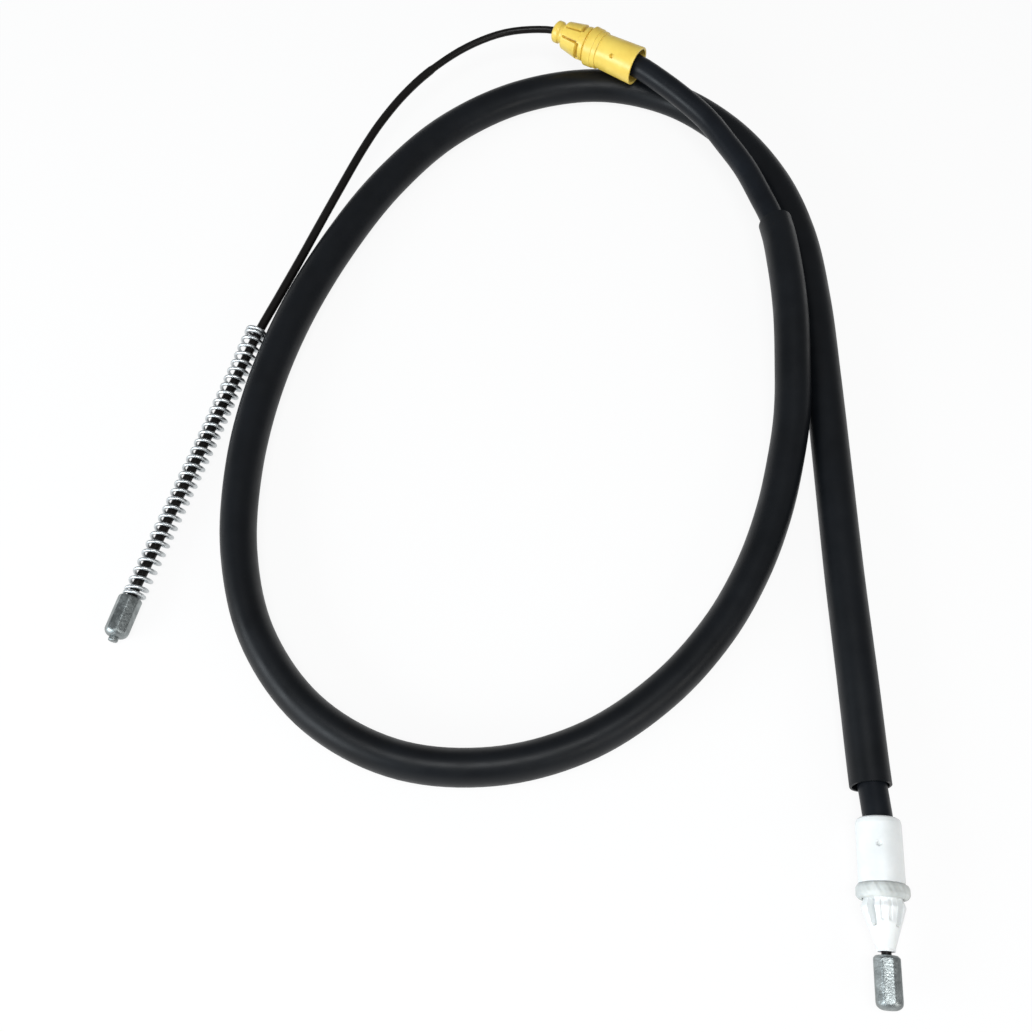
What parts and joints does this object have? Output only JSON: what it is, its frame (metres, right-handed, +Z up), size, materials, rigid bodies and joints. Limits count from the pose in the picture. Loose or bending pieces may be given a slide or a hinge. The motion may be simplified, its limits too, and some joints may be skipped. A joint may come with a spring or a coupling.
{
  "type": "parking brake cable",
  "caption": "Sheathed parking brake cable lying in a loose loop, with snap-in plastic ends, a return spring and crimped steel nipples.",
  "frame": {"origin": "middle of the cable's footprint, on the surface that it lies on", "axes": "+Z up from the surface, +Y from the white end towards the yellow end along the loop, +X towards the white end's side"},
  "size_m": [0.2909, 0.4344, 0.0323],
  "materials": {
    "hose": "satin black extruded hose",
    "jacket": "satin black plastic jacket",
    "coating": "smooth black plastic coat",
    "wire": "bare stranded steel",
    "armour": "wound flat steel",
    "liner": "smooth pale plastic tube",
    "spring": "bright zinc-plated spring wire",
    "nipple": "dull crimped zinc-plated steel",
    "yellow_plastic": "moulded yellow plastic, semi-gloss",
    "white_plastic": "moulded white plastic, semi-gloss",
    "collar": "grey rubber, dull",
    "cup": "drawn steel"
  },
  "bodies": {
    "root": {"inner_wire": "wire", "wire_coating": "coating", "conduit_liner": "liner", "conduit_armour": "armour", "conduit_jacket": "jacket", "protective_hose": "hose", "return_spring": "spring", "spring_end_nipple": "nipple", "lever_end_nipple": "nipple", "yellow_end_clip": "yellow_plastic", "white_end_clip": "white_plastic", "sealing_collar": "collar", "yellow_end_cup": "cup", "white_end_cup": "cup"}
  },
  "joints": []
}
